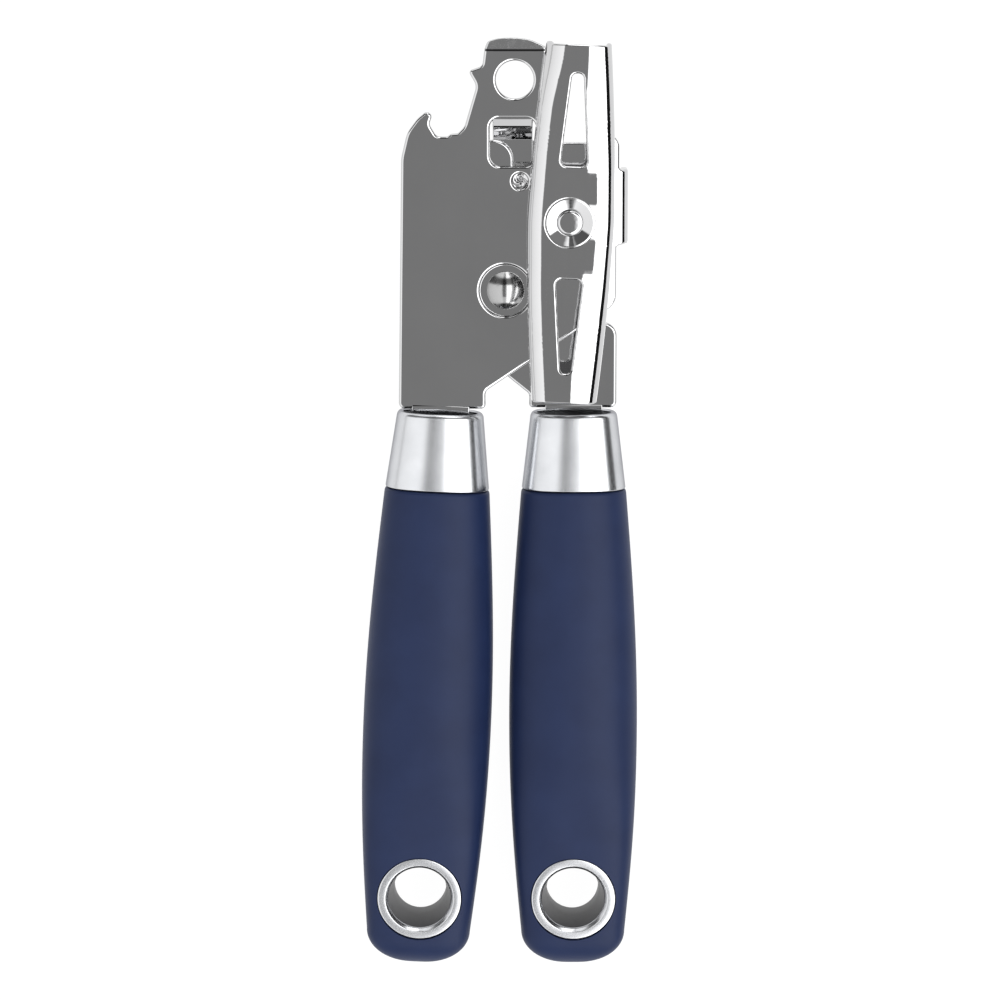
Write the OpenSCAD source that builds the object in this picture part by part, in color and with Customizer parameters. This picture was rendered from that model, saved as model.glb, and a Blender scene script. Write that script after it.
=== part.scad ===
// Manual can opener of the pliers kind: two steel levers on one main rivet, a crank that turns a
// serrated feed wheel, a geared cutting wheel, and two soft-touch handles with hang eyes.
// The opener lies flat. +Y runs from the handles to the head, +Z is the crank side, and the origin
// is the middle of the underside.

/* [Plates] */
// Thickness of both lever plates
sheet = 1.8; // [1.2:0.1:2.2]
// Height of the front face of the upper plate
front_z = 12.3; // [12:0.1:13]
// Slack between the two plates
plate_gap = 0.1; // [0.05:0.01:0.2]
// Radius of the round hole at the head end
head_hole_r = 4.2; // [3:0.1:4.6]
// Angle of the bent lip at the head end
lip_angle = 38; // [20:1:50]
// Outside radius of the long bend at the right edge
bend_r = 3.9; // [3.5:0.1:5]
// Depth of the right-hand flange below the front face
flange_depth = 5.8; // [4.5:0.1:5.8]

/* [Main rivet] */
// Radius of the shank
rivet_r = 3; // [2.5:0.1:3.5]
// Radius of the domed head
rivet_head_r = 4.3; // [4:0.1:5]
// Radius of the pocket pressed in the upper plate round the head
rivet_pocket_r = 6.4; // [6:0.1:7]

/* [Crank] */
// Length from end to end
crank_len = 80.2; // [70:0.1:81]
// Half width at the middle
crank_mid_w = 9.85; // [8.5:0.05:10]
// Half width at the ends
crank_end_w = 7.3; // [6:0.1:8]
// Height of the top face at the middle
crank_top_z = 21.6; // [21:0.1:23]
// How much higher the ends stand than the middle
crank_rise = 4.4; // [3.5:0.1:6]
// Thickness of the crank's sheet
crank_sheet = 1.2; // [1:0.05:1.4]
// Radius of the crank's rounded shoulders at the middle
shoulder_r = 3.4; // [2.5:0.1:4.2]
// Outward lean of the crank's skirts
crank_flare = 4; // [0:0.5:10]
// Radius of the round dimple over the shaft
dimple_r = 5.3; // [5:0.1:5.6]
// How far the crank's channel stands to the right of the shaft
crank_shift = 0.35; // [0:0.05:0.6]
// Lean of the crank as it rests, clockwise from above
crank_lean = 2.3; // [0:0.1:4]

/* [Gears and wheels] */
// Teeth on each of the two gears
teeth = 14; // [14:1:14]
// Gear module
gear_module = 1; // [1:0.01:1]
// Radius of the drive shaft
shaft_r = 3; // [2.6:0.1:3.2]
// Radial play of each turning fit
running_gap = 0.05; // [0.02:0.01:0.08]
// Outside radius of the serrated feed wheel
feed_r = 5.6; // [5.2:0.1:5.8]
// Serrations on the feed wheel
feed_teeth = 26; // [20:1:32]
// Radius of the cutting wheel
cutter_r = 9.2; // [9:0.1:9.4]
// Radius of the cutter's axle
axle_r = 2.5; // [2.2:0.1:2.8]

/* [Handles] */
// Lean of the left handle, outward at its end
left_lean = 2.54; // [0:0.01:4]
// Length from the top of the ferrule to the end of the grip
handle_len = 127.9; // [120:0.1:128]
// Length of the metal ferrule
ferrule_len = 17.4; // [14:0.1:19]
// Half width of the ferrule at its top and at its bottom
ferrule_w = [9.75, 11.8];
// Half thickness of the ferrule at its top and at its bottom
ferrule_t = [8.2, 9.2];
// Greatest half width of the grip
belly_w = 14.65; // [13.5:0.05:15]
// Greatest half thickness of the grip
belly_t = 10.5; // [9.5:0.1:10.5]
// Distance of the hang eye from the top of the ferrule
eye_s = 110.7; // [105:0.1:112]
// Radius of the narrowest part of the hang eye
eye_r = 6; // [5:0.1:6.4]
// Outside radius of the metal eyelets
eyelet_r = 9.6; // [9:0.1:9.8]
// Slope of the grip's faces towards the tip
eye_slope = 4; // [3:0.5:7]

/* [Hidden] */
$fn = 64;
eps = 0.02;
tall = 60;

pivot = [1.24, 49.25];
shaft = [15.55, 65.05];
mesh_angle = 141.3;
gear_play = 0.08;
gear_gap = teeth * gear_module + gear_play;
cutter = shaft + gear_gap * [cos(mesh_angle), sin(mesh_angle)];
head_hole = [3.3, 96.55];

upper_low = front_z - sheet;
lower_top = upper_low - plate_gap;
lower_low = lower_top - sheet;
gear_z = [4.2, 6.2];
feed_z = 2.8;
disc_z = [1.5, 2.55];
bend_x = 24.75;
lip_y = 102.5;
flange_y = [60.45, 76.85];
tab_x = [-1.7, 7.4];
tab_y = [77.65, 83.8, 88.4];
tab_drop = 4;
handle_z = 10.5;
left_top = [-13.5, 21.7];
right_top = [16.75, 21.7];
grip_gap = 0.25;
grip_s = ferrule_len + grip_gap;
belly_s = 71;
tail_s = handle_len - 8;
tail_w = 11.9;
tail_t = 8.3;
tang = [13, 34];
tang_pin = [2, 26];
core_half = 6;
eye_mid = 0.5;
eye_back = 6.5;
front_bore_r = 7.2;
back_bore_r = 6.4;
seat_z = 7.05;
rim_wall = 1.45;
rivet_tail_z = 6.6;
bushing_z = 6.4;
cup_z = crank_top_z - 1.25;
cup_r = 2.95;
tail_r = 2.2;
stud_r = 2.85;
pocket_depth = 0.45;

chrome_colour = "silver";
satin_colour = "gainsboro";
grip_colour = [0.16, 0.21, 0.36];
core_colour = [0.22, 0.22, 0.23];

// ---------------------------------------------------------------- outlines

function unit(v) = v / norm(v);
function flat(v) = [v[0], v[1]];
function turn(a, b) = a[0] * b[1] - a[1] * b[0];

// One corner of an outline, [x, y, radius], as the points of its arc
function corner(before, at, after, steps = 7) =
    let (
        into = unit(flat(at) - flat(before)),
        out = unit(flat(after) - flat(at)),
        bend = atan2(turn(into, out), into * out),
        reach = at[2] * tan(abs(bend) / 2),
        side = bend > 0 ? 1 : -1,
        normal = side * [-into[1], into[0]],
        centre = flat(at) - reach * into + at[2] * normal
    )
    at[2] == 0 || abs(bend) < 1
        ? [flat(at)]
        : [for (i = [0 : steps])
            let (a = bend * i / steps)
            centre - at[2] * [
                normal[0] * cos(a) - normal[1] * sin(a),
                normal[0] * sin(a) + normal[1] * cos(a)
            ]];

// A closed outline with each corner rounded to its own radius
function rounded(path) =
    let (n = len(path))
    [for (i = [0 : n - 1]) each corner(path[(i + n - 1) % n], path[i], path[(i + 1) % n])];

function box_path(x0, y0, x1, y1, r) = rounded([[x0, y0, r], [x1, y0, r], [x1, y1, r], [x0, y1, r]]);

upper_path = rounded([
    [-22.95, 22.4, 1.4], [-3.25, 22.4, 1.0], [-3.25, 26.45, 1.5],
    [26.24, 46.25, 4.0], [26.24, 59.3, 0.6], [29.2, 60.45, 0.3],
    [29.2, 76.92, 0.3], [26.92, 76.3, 0.5], [26.92, 84.55, 3.2],
    [22.3, 84.55, 2.0], [20.3, 82.6, 2.0], [12.6, 82.6, 3.0],
    [10.2, 91.0, 6.0], [10.45, 103.6, 0.7], [7.0, 105.4, 8.0],
    [3.3, 106.0, 20.0], [-0.8, 105.7, 8.0], [-2.9, 104.95, 1.2],
    [-3.55, 103.1, 1.0], [-4.0, 99.6, 1.2], [-7.2, 98.5, 0.8],
    [-5.3, 95.2, 2.5], [-8.0, 86.0, 3.0], [-9.4, 84.6, 1.0],
    [-11.0, 84.45, 0.6], [-11.8, 83.85, 1.0], [-14.2, 83.85, 1.5],
    [-15.85, 86.6, 1.5], [-15.1, 88.75, 0.9], [-16.55, 89.5, 0.9],
    [-18.6, 87.8, 5.0], [-20.9, 84.7, 6.0], [-22.25, 79.0, 9.0]
]);

lower_path = rounded([
    [6.61, 22.5, 0.8], [26.45, 22.5, 1.4], [26.45, 41.95, 3.2],
    [14.5, 41.95, 6.0], [10.3, 55.0, 8.0], [9.9, 76.9, 3.0],
    [3.03, 76.9, 0.6], [3.03, 83.06, 4.6], [-5.2, 83.06, 4.0],
    [-8.0, 60.0, 20.0], [-8.2, 42.0, 8.0], [-1.2, 31.9, 4.0],
    [6.61, 25.6, 1.2]
]);

window_path = rounded([[-2.3, 77.14, 2.4], [8.08, 77.14, 2.4], [8.08, 88.0, 2.2], [-2.3, 88.0, 2.2]]);

slot_path = rounded([[-3.0, 12.6, 1.3], [3.0, 12.6, 1.3], [1.2, 33.3, 1.1], [-1.2, 33.3, 1.1]]);

// ---------------------------------------------------------------- shared shapes

module bore(at, r) {
    translate([at[0], at[1], -1]) cylinder(r = r, h = tall);
}

module disc(at, r, z0, z1) {
    translate([at[0], at[1], z0]) cylinder(r = r, h = z1 - z0);
}

module prism(path, z0, z1) {
    translate([0, 0, z0]) linear_extrude(height = z1 - z0) polygon(path);
}

// A skin over rings of points, all rings with the same number of points. A folded ring runs out
// along one face of a sheet and back along the other, so its end caps are strips of quads.
module skin(rings, folded = false) {
    n = len(rings[0]);
    last = len(rings) - 1;
    caps = folded
        ? [for (i = [0 : n / 2 - 2]) [i, i + 1, n - 2 - i, n - 1 - i]]
        : [[for (i = [0 : n - 1]) i]];
    polyhedron(
        points = [for (ring = rings) each ring],
        faces = concat(
            [for (k = [0 : last - 1]) for (i = [0 : n - 1])
                [k * n + i, (k + 1) * n + (i + 1) % n, k * n + (i + 1) % n]],
            [for (k = [0 : last - 1]) for (i = [0 : n - 1])
                [k * n + i, (k + 1) * n + i, (k + 1) * n + (i + 1) % n]],
            caps,
            [for (cap = caps) [for (i = [len(cap) - 1 : -1 : 0]) last * n + cap[i]]]
        ),
        convexity = 8
    );
}

// ---------------------------------------------------------------- upper lever

// The flat of the upper plate: all of the outline up to the lip, and up to the bend at the right
module upper_flat() {
    translate([0, 0, upper_low]) linear_extrude(height = sheet) difference() {
        union() {
            intersection() {
                polygon(upper_path);
                union() {
                    translate([-40, 0]) square([40 + bend_x, lip_y]);
                    translate([0, 40]) square([40, 20]);
                }
            }
            translate(left_top) rotate(-left_lean) translate([-tang[0] / 2, -tang[1]])
                square([tang[0], tang[1] + 2]);
        }
        polygon(window_path);
    }
}

// The long bend at the right edge, with its flange
module right_bend() {
    intersection() {
        translate([bend_x, 60, front_z - bend_r]) rotate([-90, 0, 0]) difference() {
            cylinder(r = bend_r, h = 30);
            translate([0, 0, -1]) cylinder(r = bend_r - sheet, h = 32);
        }
        translate([bend_x, 59, front_z - bend_r]) cube([bend_r + 1, 32, bend_r + 1]);
        prism(upper_path, 0, tall);
    }
    translate([bend_x + bend_r - sheet, flange_y[0], front_z - flange_depth])
        cube([sheet, flange_y[1] - flange_y[0], flange_depth - bend_r]);
}

// The head's end, bent back
module lip() {
    intersection() {
        translate([0, lip_y, front_z]) rotate([-lip_angle, 0, 0]) translate([-40, -0.6, -sheet])
            cube([80, 8, sheet]);
        prism(upper_path, 0, tall);
        translate([-40, lip_y - 0.5, 0]) cube([80, 20, tall]);
    }
}

// The tongue lanced out of the window and set back, which guides the rim of the can
module window_tab() {
    foot_top = front_z - tab_drop;
    translate([tab_x[1], 0, 0]) rotate([0, -90, 0]) linear_extrude(height = tab_x[1] - tab_x[0]) polygon([
        [foot_top - sheet, tab_y[0]], [foot_top, tab_y[0]], [foot_top, tab_y[1]],
        [front_z - 0.4, tab_y[2]], [upper_low + 0.1, tab_y[2]], [foot_top - sheet, tab_y[1] + 0.8]
    ]);
}

module upper_plate() color(chrome_colour) difference() {
    union() {
        upper_flat();
        right_bend();
        lip();
        window_tab();
    }
    bore(head_hole, head_hole_r);
    bore(pivot, rivet_r);
    bore(shaft, shaft_r + 1);
    bore(cutter, axle_r - 0.15);
    disc(pivot, rivet_pocket_r, front_z - pocket_depth, front_z + 1);
    tang_hole(left_top, left_lean);
}

module main_rivet() color(chrome_colour) translate([pivot[0], pivot[1], 0]) {
    head_z = front_z - pocket_depth;
    dome_h = 2.1;
    dome_r = (rivet_head_r * rivet_head_r + dome_h * dome_h) / (2 * dome_h);
    translate([0, 0, rivet_tail_z]) cylinder(r = rivet_r, h = head_z - rivet_tail_z + eps);
    translate([0, 0, rivet_tail_z]) cylinder(r = rivet_head_r - 0.2, h = 0.9);
    intersection() {
        translate([0, 0, head_z + dome_h - dome_r]) sphere(r = dome_r);
        translate([0, 0, head_z]) cylinder(r = rivet_head_r, h = dome_h + 1);
    }
}

module rivet_washer() color(chrome_colour) difference() {
    disc(pivot, 6, rivet_tail_z + 0.9, lower_low - plate_gap);
    bore(pivot, rivet_r);
}

module shaft_bushing() color(satin_colour) translate([shaft[0], shaft[1], 0]) difference() {
    union() {
        translate([0, 0, bushing_z]) cylinder(r = shaft_r + 1, h = front_z - bushing_z + eps);
        translate([0, 0, front_z]) cylinder(r = shaft_r + 2.4, h = 1);
        translate([0, 0, bushing_z]) cylinder(r = shaft_r + 1.5, h = upper_low - bushing_z);
    }
    translate([0, 0, 5]) cylinder(r = shaft_r + running_gap, h = 10);
}

// ---------------------------------------------------------------- lower lever

module lower_plate() color(chrome_colour) difference() {
    union() {
        prism(lower_path, lower_low, lower_top);
        on_handle(right_top, 0) translate([-tang[0] / 2, -tang[1], lower_low - handle_z])
            cube([tang[0], tang[1] + 1, sheet]);
    }
    bore(pivot, rivet_r + running_gap);
    bore(cutter, axle_r - 0.3);
    tang_hole(right_top, 0);
}

module cutter_axle() color(satin_colour) translate([cutter[0], cutter[1], 0]) {
    translate([0, 0, 0.2]) cylinder(r = 4.2, h = 0.9);
    translate([0, 0, 1.0]) cylinder(r = axle_r, h = gear_z[1] - 0.9);
    translate([0, 0, gear_z[1] + 0.1]) cylinder(r = 3.3, h = lower_low - gear_z[1] - 0.1);
    translate([0, 0, lower_low - eps]) cylinder(r = axle_r - 0.3, h = sheet + eps);
}

module axle_washer() color(satin_colour) translate([cutter[0], cutter[1], 1.1]) difference() {
    cylinder(r = 4.6, h = 0.35);
    translate([0, 0, -1]) cylinder(r = axle_r, h = 3);
}

// ---------------------------------------------------------------- crank and wheels

function ease(t) = let (c = min(1, max(0, t))) c * c * (3 - 2 * c);
function crank_half(u) =
    crank_mid_w - (crank_mid_w - crank_end_w) * pow(min(1, abs(u) * 2 / crank_len), 1.45);
function crank_top(u) = crank_top_z + crank_rise * ease((abs(u) - 5) / (crank_len / 2 - 2));
function crank_skirt(u) = 4.6 + 1.9 * (1 - ease((abs(u) - 8) / 8));
function crank_shoulder(u) = shoulder_r + ease((abs(u) - 5) / 28);

// The crank's section at u, an inverted channel with round shoulders: one side of its sheet
function crank_side(u, in) =
    let (
        shoulder = crank_shoulder(u),
        r = shoulder - in,
        straight = max(0, crank_skirt(u) - shoulder),
        flat_w = crank_half(u) - shoulder - straight * tan(crank_flare),
        top = crank_top(u) - in,
        foot = crank_top(u) - crank_skirt(u)
    )
    concat(
        [for (i = [0 : 5])
            let (a = (90 - crank_flare) * i / 5)
            [flat_w + r * sin(a), top - r + r * cos(a)]],
        [[flat_w + r * cos(crank_flare) + (top - r + r * sin(crank_flare) - foot) * tan(crank_flare),
            foot]]
    );

function crank_ring(u) =
    let (
        outer = crank_side(u, 0),
        inner = crank_side(u, crank_sheet),
        n = len(outer),
        mid = crank_shift
    )
    [
        for (i = [n - 1 : -1 : 0]) [mid + outer[i][0], u, outer[i][1]],
        for (i = [0 : n - 1]) [mid - outer[i][0], u, outer[i][1]],
        for (i = [n - 1 : -1 : 0]) [mid - inner[i][0], u, inner[i][1]],
        for (i = [0 : n - 1]) [mid + inner[i][0], u, inner[i][1]]
    ];

module crank_key() color(chrome_colour)
    translate([shaft[0], shaft[1], 0]) rotate([0, 0, -crank_lean]) {
        difference() {
            skin([for (i = [0 : 28]) crank_ring(crank_len * (0.5 - i / 28))], folded = true);
            bore([0, 0], dimple_r);
            translate([crank_shift, 0, 0]) for (a = [0, 180]) rotate([0, 0, a])
                prism(slot_path, 0, tall);
        }
        rotate_extrude() polygon([
            [tail_r, cup_z], [cup_r, cup_z], [dimple_r, crank_top_z - 0.03],
            [dimple_r + 0.3, crank_top_z - 0.03], [dimple_r + 0.3, crank_top_z - crank_sheet],
            [cup_r + 0.8, cup_z - crank_sheet], [tail_r, cup_z - crank_sheet]
        ]);
    }

module drive_shaft() color(satin_colour) translate([shaft[0], shaft[1], 0]) {
    head_h = 0.6;
    head_ball = (stud_r * stud_r + head_h * head_h) / (2 * head_h);
    translate([0, 0, 2.3]) cylinder(r = shaft_r - 0.4, h = 4);
    translate([0, 0, gear_z[1]]) cylinder(r = shaft_r, h = 14.2 - gear_z[1]);
    translate([0, 0, 14.1]) cylinder(r = 4.2, h = cup_z - crank_sheet - 14.1);
    translate([0, 0, cup_z - crank_sheet - eps]) cylinder(r = tail_r, h = crank_sheet + 0.1);
    intersection() {
        translate([0, 0, cup_z + head_h - head_ball]) sphere(r = head_ball);
        translate([0, 0, cup_z]) cylinder(r = stud_r, h = 2);
    }
}

module crank_washer() color(satin_colour) translate([shaft[0], shaft[1], front_z + 1.1]) difference() {
    cylinder(r = 5.3, h = 0.7);
    translate([0, 0, -1]) cylinder(r = shaft_r, h = 3);
}

function involute(base, a) = base * [cos(a) + a * PI / 180 * sin(a), sin(a) - a * PI / 180 * cos(a)];
function spun(p, a) = [p[0] * cos(a) - p[1] * sin(a), p[0] * sin(a) + p[1] * cos(a)];

// A spur gear with involute flanks, one tooth centred on +X
function gear_path(m, n, pressure = 20, slack = 0.6) =
    let (
        pitch_r = m * n / 2,
        base_r = pitch_r * cos(pressure),
        tip_r = pitch_r + 0.92 * m,
        root_r = pitch_r - 1.2 * m,
        half_tooth = 90 / n + (tan(pressure) * 180 / PI - pressure) - slack,
        last = sqrt(pow(tip_r / base_r, 2) - 1) * 180 / PI,
        flank = [for (i = [0 : 4]) spun(involute(base_r, last * i / 4), -half_tooth)]
    )
    [for (k = [0 : n - 1]) let (a = 360 * k / n) each concat(
        [spun([root_r, 0], a - half_tooth)],
        [for (p = flank) spun(p, a)],
        [for (i = [4 : -1 : 0]) spun([flank[i][0], -flank[i][1]], a)],
        [spun([root_r, 0], a + half_tooth)]
    )];

module drive_gear() color("darkgray") translate([shaft[0], shaft[1], gear_z[0]]) rotate([0, 0, mesh_angle])
    difference() {
        linear_extrude(height = gear_z[1] - gear_z[0]) polygon(gear_path(gear_module, teeth));
        translate([0, 0, -1]) cylinder(r = shaft_r - 0.4, h = 5);
    }

module feed_wheel() color(satin_colour) translate([shaft[0], shaft[1], feed_z]) difference() {
    linear_extrude(height = gear_z[0] - feed_z) polygon([
        for (k = [0 : 2 * feed_teeth - 1])
            (feed_r - 0.7 * (k % 2)) * [cos(180 * k / feed_teeth), sin(180 * k / feed_teeth)]
    ]);
    translate([0, 0, -1]) cylinder(r = shaft_r - 0.4, h = 5);
}

module cutter_gear() color("darkgray") translate([cutter[0], cutter[1], gear_z[0]])
    rotate([0, 0, mesh_angle + 180 / teeth]) difference() {
        linear_extrude(height = gear_z[1] - gear_z[0]) polygon(gear_path(gear_module, teeth));
        translate([0, 0, -1]) cylinder(r = axle_r + running_gap, h = 5);
    }

module cutting_wheel() color(chrome_colour) translate([cutter[0], cutter[1], 0])
    rotate_extrude() polygon([
        [axle_r + running_gap, disc_z[0]], [6.6, disc_z[0]], [cutter_r, disc_z[1] - 0.25],
        [cutter_r, disc_z[1] - 0.15], [7.6, disc_z[1]], [4.4, disc_z[1]], [4.4, gear_z[0]],
        [axle_r + running_gap, gear_z[0]]
    ]);

// ---------------------------------------------------------------- handles

// Puts a handle's own frame in place: its +Y axis points to the head, its top is at y = 0
module on_handle(top, lean) {
    translate([top[0], top[1], handle_z]) rotate([0, 0, -lean]) children();
}

module tang_hole(top, lean) {
    on_handle(top, lean) translate([0, -tang_pin[1], -10]) cylinder(r = tang_pin[0], h = 20);
}

// Half width, half thickness and squareness of the grip at the distance s below the ferrule's top
function swell(s) = s < belly_s
    ? sin(90 * (s - grip_s) / (belly_s - grip_s))
    : 1 - pow(1 - cos(min(90, 90 * (s - belly_s) / (tail_s - belly_s))), 1.1);
function tail(s) = sqrt(max(0, 1 - pow(max(0, s - tail_s) / (handle_len - tail_s), 2)));
function grip_half_w(s) = s < belly_s
    ? ferrule_w[1] + 0.1 + (belly_w - ferrule_w[1] - 0.1) * swell(s)
    : (tail_w + (belly_w - tail_w) * swell(s)) * tail(s);
function grip_half_t(s) = s < belly_s
    ? ferrule_t[1] + 0.1 + (belly_t - ferrule_t[1] - 0.1) * swell(s)
    : (tail_t + (belly_t - tail_t) * swell(s)) * tail(s);
function grip_square(s) = 2.3 + 1.9 * ease((s - belly_s) / 38);

function power(v, p) = sign(v) * pow(abs(v), p);
function oval(s, w, t, e) = [for (i = [0 : sides - 1])
    let (a = 360 * i / sides)
    [w * power(cos(a), 2 / e), -s, t * power(sin(a), 2 / e)]];

sides = 40;
grip_stops = concat(
    [grip_s, grip_s + 0.25, grip_s + 0.8],
    [for (i = [1 : 17]) grip_s + 0.8 + (tail_s - grip_s - 0.8) * i / 17],
    [for (a = [12 : 12 : 84]) tail_s + (handle_len - tail_s) * sin(a)],
    [handle_len - 0.012]
);
function lead(s) = 0.6 * (1 - sqrt(1 - pow(1 - min(1, (s - grip_s) / 0.8), 2)));

module grip_form() skin([for (s = grip_stops)
    oval(s, grip_half_w(s) - lead(s), grip_half_t(s) - lead(s), grip_square(s))]);

// The moulded core: a neck inside the ferrule, a bar down the grip, and a boss round the hang eye
module core_form(margin = 0) {
    translate([0, 0, -core_half - margin]) linear_extrude(height = 2 * (core_half + margin))
        polygon(box_path(-7 - margin, -eye_s + 4, 7 + margin, -16, 2));
    translate([0, -eye_s, 0]) for (side = [0, 1]) mirror([0, 0, side]) {
        rotate([eye_slope, 0, 0]) translate([0, 0, -1]) cylinder(r = 8.2 + margin, h = 8 + margin);
    }
}

// A ring of the tapering ferrule at the distance s from its top, set in from its outer face
function ferrule_ring(s, inset) =
    let (k = s / ferrule_len)
    oval(s, ferrule_w[0] + (ferrule_w[1] - ferrule_w[0]) * k - inset,
        ferrule_t[0] + (ferrule_t[1] - ferrule_t[0]) * k - inset, 2.3);
function rim(s) = s < 1.1 ? 0.8 * (1 - sqrt(1 - pow(1 - s / 1.1, 2))) : 0;

module tang_slot(z0) {
    translate([-tang[0] / 2, -tang[1], z0 - handle_z]) cube([tang[0], tang[1] + 6, sheet]);
}

// The hang eye: a straight bore from the back to mid thickness, then a cone that opens to the front
module eye_bore() {
    translate([0, -eye_s, 0]) {
        cylinder(r = eye_r, h = 60, center = true);
        translate([0, 0, eye_mid]) cylinder(r1 = eye_r, r2 = front_bore_r + 0.15, h = 8.4 - eye_mid);
        translate([0, 0, -8.4]) cylinder(r1 = back_bore_r + 0.1, r2 = eye_r, h = 8.4 - eye_back);
    }
}

module core(z0) color(core_colour) difference() {
    union() {
        core_form();
        skin([ferrule_ring(2.2, rim_wall + 0.05), ferrule_ring(ferrule_len, rim_wall + 0.05)]);
    }
    tang_slot(z0);
    translate([0, -tang_pin[1], -10]) cylinder(r = tang_pin[0], h = 20);
    eye_bore();
}

module grip() color(grip_colour) difference() {
    grip_form();
    core_form(0.05);
    eyelet_seat(0);
    eyelet_seat(1);
}

module eyelet_seat(side) {
    translate([0, -eye_s, 0]) mirror([0, 0, side]) rotate([eye_slope, 0, 0])
        translate([0, 0, seat_z - 0.05]) cylinder(r = eyelet_r + 0.2, h = 10);
}

module eyelet(side) color(satin_colour) {
    bore_r = side == 0 ? front_bore_r : back_bore_r;
    translate([0, -eye_s, 0]) mirror([0, 0, side]) rotate([eye_slope, 0, 0])
        rotate_extrude() polygon([
            [bore_r, seat_z], [eyelet_r, seat_z], [eyelet_r, 8.3], [eyelet_r - 0.3, 8.6],
            [bore_r + 0.7, 8.6], [bore_r, 8.0]
        ]);
}

module ferrule() color(satin_colour) difference() {
    skin([for (s = [0, 0.12, 0.45, 1.1, 6, 12, ferrule_len]) ferrule_ring(s, rim(s))]);
    skin([ferrule_ring(-0.5, rim_wall), ferrule_ring(ferrule_len + 0.5, rim_wall)]);
}

module pin() color(satin_colour) translate([0, -tang_pin[1], -core_half])
    cylinder(r = tang_pin[0], h = 2 * core_half);

module left_ferrule() on_handle(left_top, left_lean) ferrule();
module left_core() on_handle(left_top, left_lean) core(upper_low);
module left_grip() on_handle(left_top, left_lean) grip();
module left_tang_pin() on_handle(left_top, left_lean) pin();
module left_eyelet_front() on_handle(left_top, left_lean) eyelet(0);
module left_eyelet_back() on_handle(left_top, left_lean) eyelet(1);
module right_ferrule() on_handle(right_top, 0) ferrule();
module right_core() on_handle(right_top, 0) core(lower_low);
module right_grip() on_handle(right_top, 0) grip();
module right_tang_pin() on_handle(right_top, 0) pin();
module right_eyelet_front() on_handle(right_top, 0) eyelet(0);
module right_eyelet_back() on_handle(right_top, 0) eyelet(1);

// ---------------------------------------------------------------- nodes

upper_plate();
main_rivet();
rivet_washer();
shaft_bushing();
left_ferrule();
left_core();
left_grip();
left_tang_pin();
left_eyelet_front();
left_eyelet_back();
lower_plate();
cutter_axle();
axle_washer();
right_ferrule();
right_core();
right_grip();
right_tang_pin();
right_eyelet_front();
right_eyelet_back();
crank_key();
drive_shaft();
crank_washer();
drive_gear();
feed_wheel();
cutter_gear();
cutting_wheel();
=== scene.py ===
"""The looks of a manual can opener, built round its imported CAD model.

Sheet-metal pieces are cut as flat patterns with rounded edges and then bent. Turned pieces are
profiles spun round an axis, and the handles are lofts. Lengths here are millimetres, and every
mesh is scaled to metres as it is made.
"""

import math

import bmesh
import bpy
from mathutils import Matrix, Vector


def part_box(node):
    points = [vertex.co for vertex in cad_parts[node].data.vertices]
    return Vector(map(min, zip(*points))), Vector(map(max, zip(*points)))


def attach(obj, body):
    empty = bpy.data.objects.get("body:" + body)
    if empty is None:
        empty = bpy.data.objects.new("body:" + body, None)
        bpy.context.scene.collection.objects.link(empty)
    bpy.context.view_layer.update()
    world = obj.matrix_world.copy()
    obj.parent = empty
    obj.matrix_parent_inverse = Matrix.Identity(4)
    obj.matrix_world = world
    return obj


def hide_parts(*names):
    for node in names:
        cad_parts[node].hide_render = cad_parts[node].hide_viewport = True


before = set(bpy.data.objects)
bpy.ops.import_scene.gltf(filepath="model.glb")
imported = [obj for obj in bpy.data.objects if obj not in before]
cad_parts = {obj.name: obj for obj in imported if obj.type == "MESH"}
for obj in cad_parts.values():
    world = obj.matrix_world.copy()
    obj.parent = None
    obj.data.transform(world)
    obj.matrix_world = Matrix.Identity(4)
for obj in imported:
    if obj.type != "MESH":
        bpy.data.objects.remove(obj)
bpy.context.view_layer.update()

MM = 0.001


# ---------------------------------------------------------------- places and sizes from the frame

def middle(node):
    """The middle of a node's box, in millimetres."""
    low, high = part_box(node)
    return (low + high) / 2 / MM


def span(node, axis):
    """A node's lowest and highest value along one axis, in millimetres."""
    low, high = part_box(node)
    return low[axis] / MM, high[axis] / MM


PIVOT = middle("main_rivet")
SHAFT = middle("drive_shaft")
CUTTER = middle("cutting_wheel")
UPPER_TOP = span("shaft_bushing", 2)[1] - 1.0
SHEET = 1.8
UPPER_MID = UPPER_TOP - SHEET / 2
LOWER_TOP = span("lower_plate", 2)[1]
LOWER_MID = LOWER_TOP - SHEET / 2
HANDLE_Z = middle("left_ferrule").z

# Upper plate: its rolled right edge and flange, the lip at the head, and its holes.
ROLL_X = 21.4
ROLL_RUN = 5.0
ROLL_ANGLE = math.radians(5)
BEND_R = 1.7
LIP_Y = 102.5
LIP_ANGLE = math.radians(38)
LIP_BEND_R = 0.9
LIP_STRETCH = 0.129
FLANGE_FOOT = 60.0
HEAD_HOLE = (3.3, 96.55, 4.2)
SIGHT_R = 1.75
BUSHING_R = 4.0
POCKET_R = 5.85
POCKET_DEPTH = 0.45
POCKET_FILLET = 0.24
RIVET_R = 3.0
RIVET_FOOT_R = 4.05
RIVET_HEAD_R = 4.2
RIVET_DOME = 1.75

# The tongue in the window, from its root back towards the handles and down to its foot.
TAB_LEFT = -1.65
TAB_ROOT = 88.5
TAB_W = 9.0
TAB_DROP = 4.0
TAB_BEND_R = 0.95
TAB_START = 0.3
TAB_LEAD = math.radians(22)
TAB_LEAD_RUN = 1.3
TAB_SLOPE = math.radians(48)
TAB_FOOT = 5.2
TAB_CORNER = 0.6
TAB_TUCK = 0.2
TAB_SHEET = SHEET - 0.2

# The tang that each plate sends down into its handle, with y = 0 at the handle's top.
TANG_HALF = 6.5
TANG_LOW = -34
TANG_HIGH = 1.5

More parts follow.
